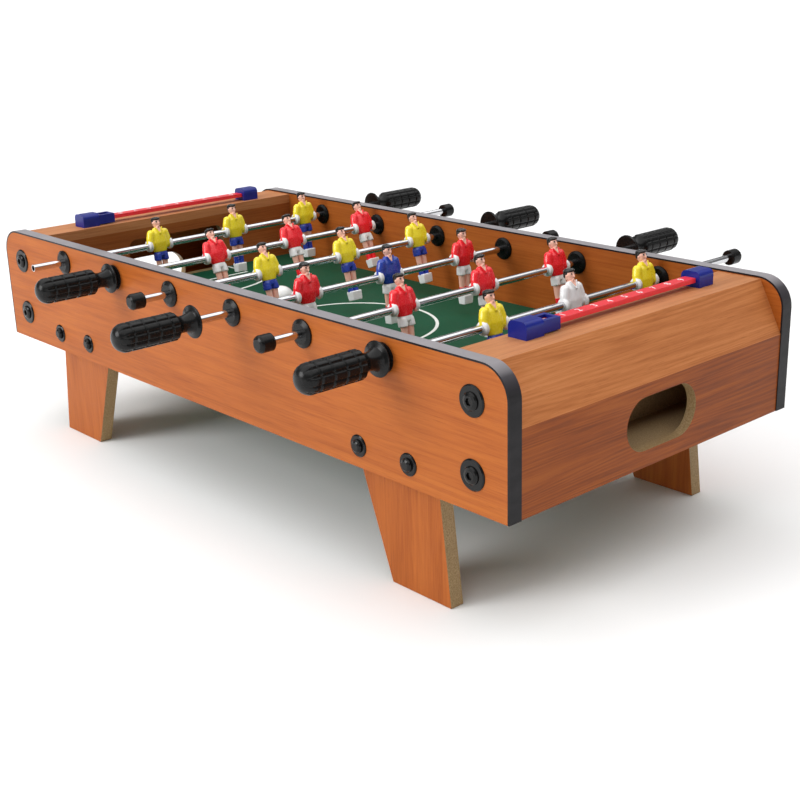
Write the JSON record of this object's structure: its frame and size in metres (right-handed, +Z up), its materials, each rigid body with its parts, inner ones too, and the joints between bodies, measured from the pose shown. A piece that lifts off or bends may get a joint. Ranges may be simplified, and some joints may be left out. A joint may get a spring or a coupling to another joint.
{
  "type": "tabletop foosball",
  "caption": "Small tabletop football game: wood-grain box on four tapered legs, plastic players on sliding, turning rods, grip handles on both sides and a bar scorer at each end.",
  "frame": {"origin": "on the surface the table stands on, under the middle of the playing field, half way between the end faces and half way between the long walls", "axes": "+X runs along the table towards the right-hand end, +Y from the near long wall to the far long wall, +Z up"},
  "size_m": [0.69, 0.564, 0.2081],
  "materials": {
    "wood_laminate": "satin printed wood grain",
    "edge_trim": "satin",
    "raw_board": "raw fibreboard",
    "field_green": "satin printed board",
    "field_line": "satin print",
    "black_plastic": "satin",
    "handle_black": "satin",
    "black_metal": "gloss black",
    "rod_chrome": "polished",
    "scorer_red": "gloss",
    "scorer_blue": "gloss",
    "scorer_numeral": "print",
    "shirt_yellow": "gloss",
    "shirt_red": "gloss",
    "shirt_blue": "gloss",
    "shirt_white": "gloss",
    "ball_white": "gloss",
    "player_white": "gloss",
    "player_skin": "satin",
    "player_black": "gloss"
  },
  "bodies": {
    "table": {"side_wall_near": "wood_laminate", "edge_band_near": "edge_trim", "rod_bushings_near": "black_plastic", "leg_near_left": "wood_laminate", "leg_near_right": "wood_laminate", "side_wall_far": "wood_laminate", "edge_band_far": "edge_trim", "rod_bushings_far": "black_plastic", "leg_far_left": "wood_laminate", "leg_far_right": "wood_laminate", "end_panel_left": "wood_laminate", "slant_panel_left": "wood_laminate", "top_panel_left": "wood_laminate", "goal_wall_left": "wood_laminate", "return_floor_left": "raw_board", "scorer_rail_left": "scorer_red", "scorer_blocks_left": "scorer_blue", "end_panel_right": "wood_laminate", "slant_panel_right": "wood_laminate", "top_panel_right": "wood_laminate", "goal_wall_right": "wood_laminate", "return_floor_right": "raw_board", "scorer_rail_right": "scorer_red", "scorer_blocks_right": "scorer_blue", "playfield": "field_green", "field_battens": "raw_board", "corner_blocks": "raw_board", "panel_washers": "black_metal", "panel_bolts": "black_metal", "leg_washers": "black_metal", "leg_bolts": "black_metal"},
    "rod_1": {"rod_1_tube": "rod_chrome"},
    "rod_1_team": {"rod_1_players": "shirt_yellow", "rod_1_handle": "handle_black"},
    "rod_2": {"rod_2_tube": "rod_chrome"},
    "rod_2_team": {"rod_2_players": "shirt_red", "rod_2_handle": "handle_black", "rod_2_end_cap": "handle_black"},
    "rod_3": {"rod_3_tube": "rod_chrome"},
    "rod_3_team": {"rod_3_players": "shirt_yellow", "rod_3_handle": "handle_black", "rod_3_end_cap": "handle_black"},
    "rod_4": {"rod_4_tube": "rod_chrome"},
    "rod_4_team": {"rod_4_players": "shirt_red", "rod_4_handle": "handle_black", "rod_4_end_cap": "handle_black"},
    "rod_5": {"rod_5_tube": "rod_chrome"},
    "rod_5_team": {"rod_5_players": "shirt_red", "rod_5_handle": "handle_black", "rod_5_end_cap": "handle_black"},
    "rod_6": {"rod_6_tube": "rod_chrome"},
    "rod_6_team": {"rod_6_players": "shirt_yellow", "rod_6_handle": "handle_black", "rod_6_end_cap": "handle_black"},
    "ball": {"ball": "ball_white"},
    "marker_left": {"scorer_marker_left": "scorer_blue"},
    "marker_right": {"scorer_marker_right": "scorer_blue"}
  },
  "joints": [
    {"name": "rod_1_slide", "type": "slide", "parent": "table", "child": "rod_1", "axis": [0, 1, 0], "range_m": [-0.0556, 0.0094]},
    {"name": "rod_1_spin", "type": "hinge", "parent": "rod_1", "child": "rod_1_team", "pos_m": [-0.225, 0, 0.1805], "axis": [0, 1, 0], "continuous": true},
    {"name": "rod_2_slide", "type": "slide", "parent": "table", "child": "rod_2", "axis": [0, 1, 0], "range_m": [-0.0786, 0.0011]},
    {"name": "rod_2_spin", "type": "hinge", "parent": "rod_2", "child": "rod_2_team", "pos_m": [-0.135, 0, 0.1805], "axis": [0, 1, 0], "continuous": true},
    {"name": "rod_3_slide", "type": "slide", "parent": "table", "child": "rod_3", "axis": [0, 1, 0], "range_m": [-0.0581, 0.0109]},
    {"name": "rod_3_spin", "type": "hinge", "parent": "rod_3", "child": "rod_3_team", "pos_m": [-0.045, 0, 0.1805], "axis": [0, 1, 0], "continuous": true},
    {"name": "rod_4_slide", "type": "slide", "parent": "table", "child": "rod_4", "axis": [0, 1, 0], "range_m": [-0.0446, 0.0331]},
    {"name": "rod_4_spin", "type": "hinge", "parent": "rod_4", "child": "rod_4_team", "pos_m": [0.045, 0, 0.1805], "axis": [0, 1, 0], "continuous": true},
    {"name": "rod_5_slide", "type": "slide", "parent": "table", "child": "rod_5", "axis": [0, 1, 0], "range_m": [-0.0551, 0.0114]},
    {"name": "rod_5_spin", "type": "hinge", "parent": "rod_5", "child": "rod_5_team", "pos_m": [0.135, 0, 0.1805], "axis": [0, 1, 0], "continuous": true},
    {"name": "rod_6_slide", "type": "slide", "parent": "table", "child": "rod_6", "axis": [0, 1, 0], "range_m": [-0.0824, 0.0011]},
    {"name": "rod_6_spin", "type": "hinge", "parent": "rod_6", "child": "rod_6_team", "pos_m": [0.225, 0, 0.1805], "axis": [0, 1, 0], "continuous": true},
    {"name": "ball_slide", "type": "slide", "parent": "table", "child": "ball", "axis": [0, 1, 0], "range_m": [-0.122, 0.152]},
    {"name": "marker_left_slide", "type": "slide", "parent": "table", "child": "marker_left", "axis": [0, 1, 0], "range_m": [-0.0005, 0.1599]},
    {"name": "marker_right_slide", "type": "slide", "parent": "table", "child": "marker_right", "axis": [0, 1, 0], "range_m": [-0.0005, 0.1599]}
  ]
}
